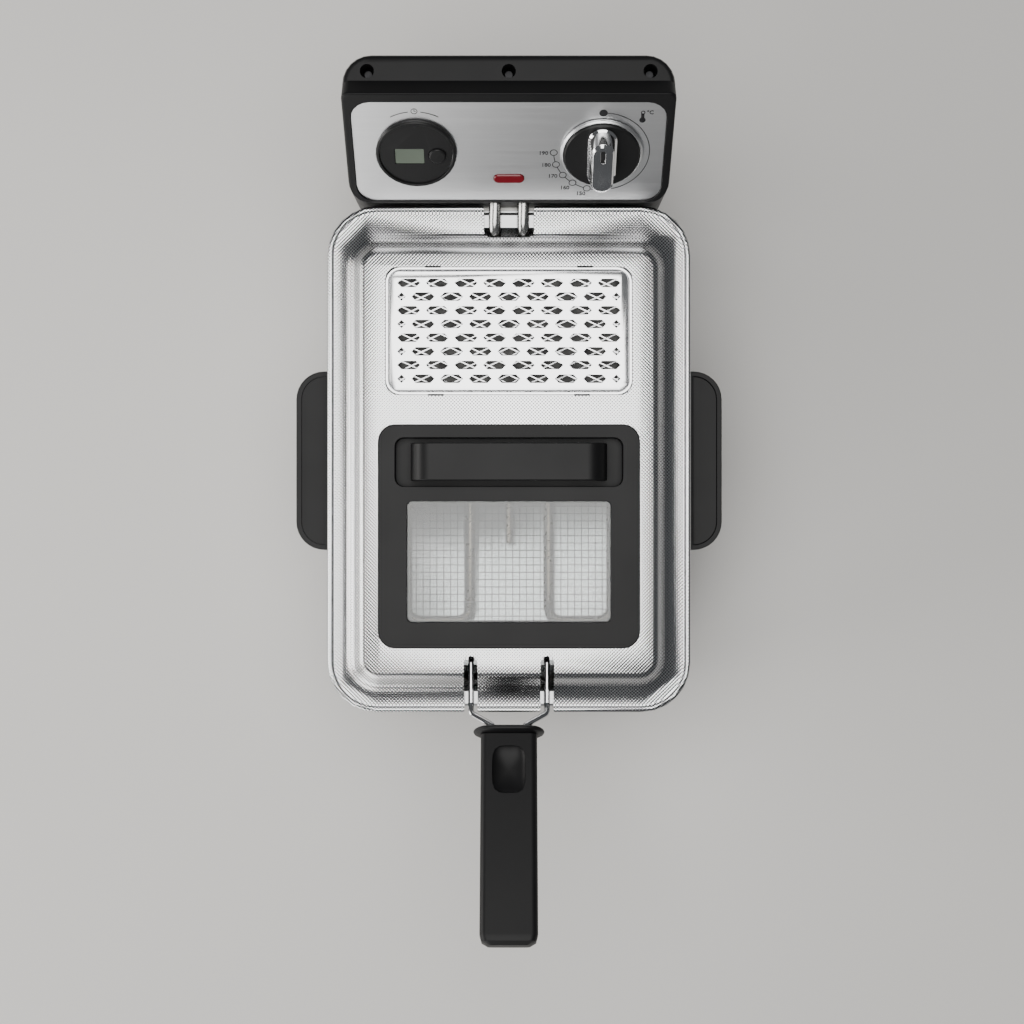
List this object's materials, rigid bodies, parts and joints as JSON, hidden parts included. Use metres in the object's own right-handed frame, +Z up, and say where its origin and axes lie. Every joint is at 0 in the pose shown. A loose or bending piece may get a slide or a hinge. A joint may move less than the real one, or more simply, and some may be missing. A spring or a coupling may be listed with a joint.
{
  "type": "deep fryer",
  "caption": "Deep fryer with steel body, lift-off embossed lid with window and filter, wire basket with long grip, oil bowl and sloped control unit with timer and thermostat knob.",
  "frame": {"origin": "ground plane under the middle of the whole object's bounding box", "axes": "+Z up, -Y towards the front where the basket's grip is, +Y towards the control unit, +X to the right seen from the front"},
  "size_m": [0.3026, 0.5856, 0.2757],
  "materials": {
    "embossed_steel": "embossed satin",
    "housing_steel": "brushed",
    "bowl_steel": "satin",
    "satin_fascia": "fine satin",
    "filter_steel": "satin",
    "chrome_trim": "polished",
    "chrome_wire": "polished",
    "element_steel": "polished",
    "zinc": "zinc plated",
    "black_screw": "black oxide",
    "black_plastic": "satin",
    "grip_plastic": "fine matt",
    "dial_black": "semi gloss",
    "display": "grey green display",
    "red_lens": "translucent red",
    "block_white": "matt",
    "switch_red": "matt",
    "rubber": "matt",
    "filter_foam": "open foam",
    "window_glass": "clear"
  },
  "bodies": {
    "housing": {"outer_housing": "housing_steel", "base_tray": "black_plastic", "foot_front_left": "rubber", "foot_front_right": "rubber", "foot_rear_left": "rubber", "foot_rear_right": "rubber", "side_handle_left": "black_plastic", "side_handle_right": "black_plastic", "handle_screw_1": "zinc", "handle_screw_2": "zinc", "handle_screw_3": "zinc", "handle_screw_4": "zinc", "hanger_rail": "housing_steel", "rail_screw": "zinc"},
    "bowl": {"oil_bowl": "bowl_steel"},
    "control_unit": {"control_shell": "black_plastic", "control_bezel": "black_plastic", "fascia_plate": "satin_fascia", "timer_body": "dial_black", "timer_rim": "dial_black", "timer_face": "dial_black", "timer_display": "display", "thermostat_body": "zinc", "indicator_lens": "red_lens", "indicator_lamp": "block_white", "hanger_tongue": "zinc", "heating_element": "element_steel", "thermostat_bulb": "element_steel", "bulb_clip": "element_steel", "element_brace": "element_steel", "terminal_block": "block_white", "safety_switch": "switch_red", "cord_gland": "black_plastic", "shell_screw_left": "black_screw", "shell_screw_centre": "black_screw", "shell_screw_right": "black_screw"},
    "knob": {"knob_disc": "dial_black", "knob_ring": "satin_fascia", "knob_grip": "chrome_trim", "knob_pointer": "dial_black", "thermostat_shaft": "zinc"},
    "push_button": {"timer_button": "dial_black"},
    "reset": {"reset_button": "switch_red"},
    "basket": {"basket_mesh": "chrome_wire", "basket_rim": "chrome_wire", "basket_bracket": "chrome_wire", "handle_wire": "chrome_wire", "finger_guard": "grip_plastic", "grip_upper": "grip_plastic", "grip_lower": "grip_plastic", "grip_screw": "zinc"},
    "lid": {"lid_shell": "embossed_steel", "lid_insert": "black_plastic", "window_pane": "window_glass", "window_seal": "rubber", "lid_handle": "black_plastic", "filter_housing": "filter_steel", "filter_pad": "filter_foam", "filter_mesh": "filter_steel"},
    "cover": {"filter_cover": "filter_steel"}
  },
  "joints": [
    {"name": "bowl_lift", "type": "slide", "parent": "housing", "child": "bowl", "axis": [0, 0, 1], "range_m": [0, 0.18]},
    {"name": "unit_lift", "type": "slide", "parent": "bowl", "child": "control_unit", "axis": [0, 0, 1], "range_m": [0, 0.17]},
    {"name": "basket_lift", "type": "slide", "parent": "control_unit", "child": "basket", "axis": [0, 0, 1], "range_m": [0, 0.14]},
    {"name": "lid_lift", "type": "slide", "parent": "basket", "child": "lid", "axis": [0, 0, 1], "range_m": [0, 0.09]},
    {"name": "filter_lift", "type": "slide", "parent": "lid", "child": "cover", "axis": [0, 0, 1], "range_m": [0, 0.03]},
    {"name": "knob_turn", "type": "hinge", "parent": "control_unit", "child": "knob", "pos_m": [0.062, 0.23463, 0.2381], "axis": [0, 0.766, -0.6428], "range_deg": [0, 269]},
    {"name": "button_press", "type": "slide", "parent": "control_unit", "child": "push_button", "axis": [0, 0.766, -0.6428], "range_m": [0, 0.001], "stiffness_N_per_m": 400},
    {"name": "reset_press", "type": "slide", "parent": "control_unit", "child": "reset", "axis": [0, 0, 1], "range_m": [0, 0.0015], "stiffness_N_per_m": 400}
  ]
}
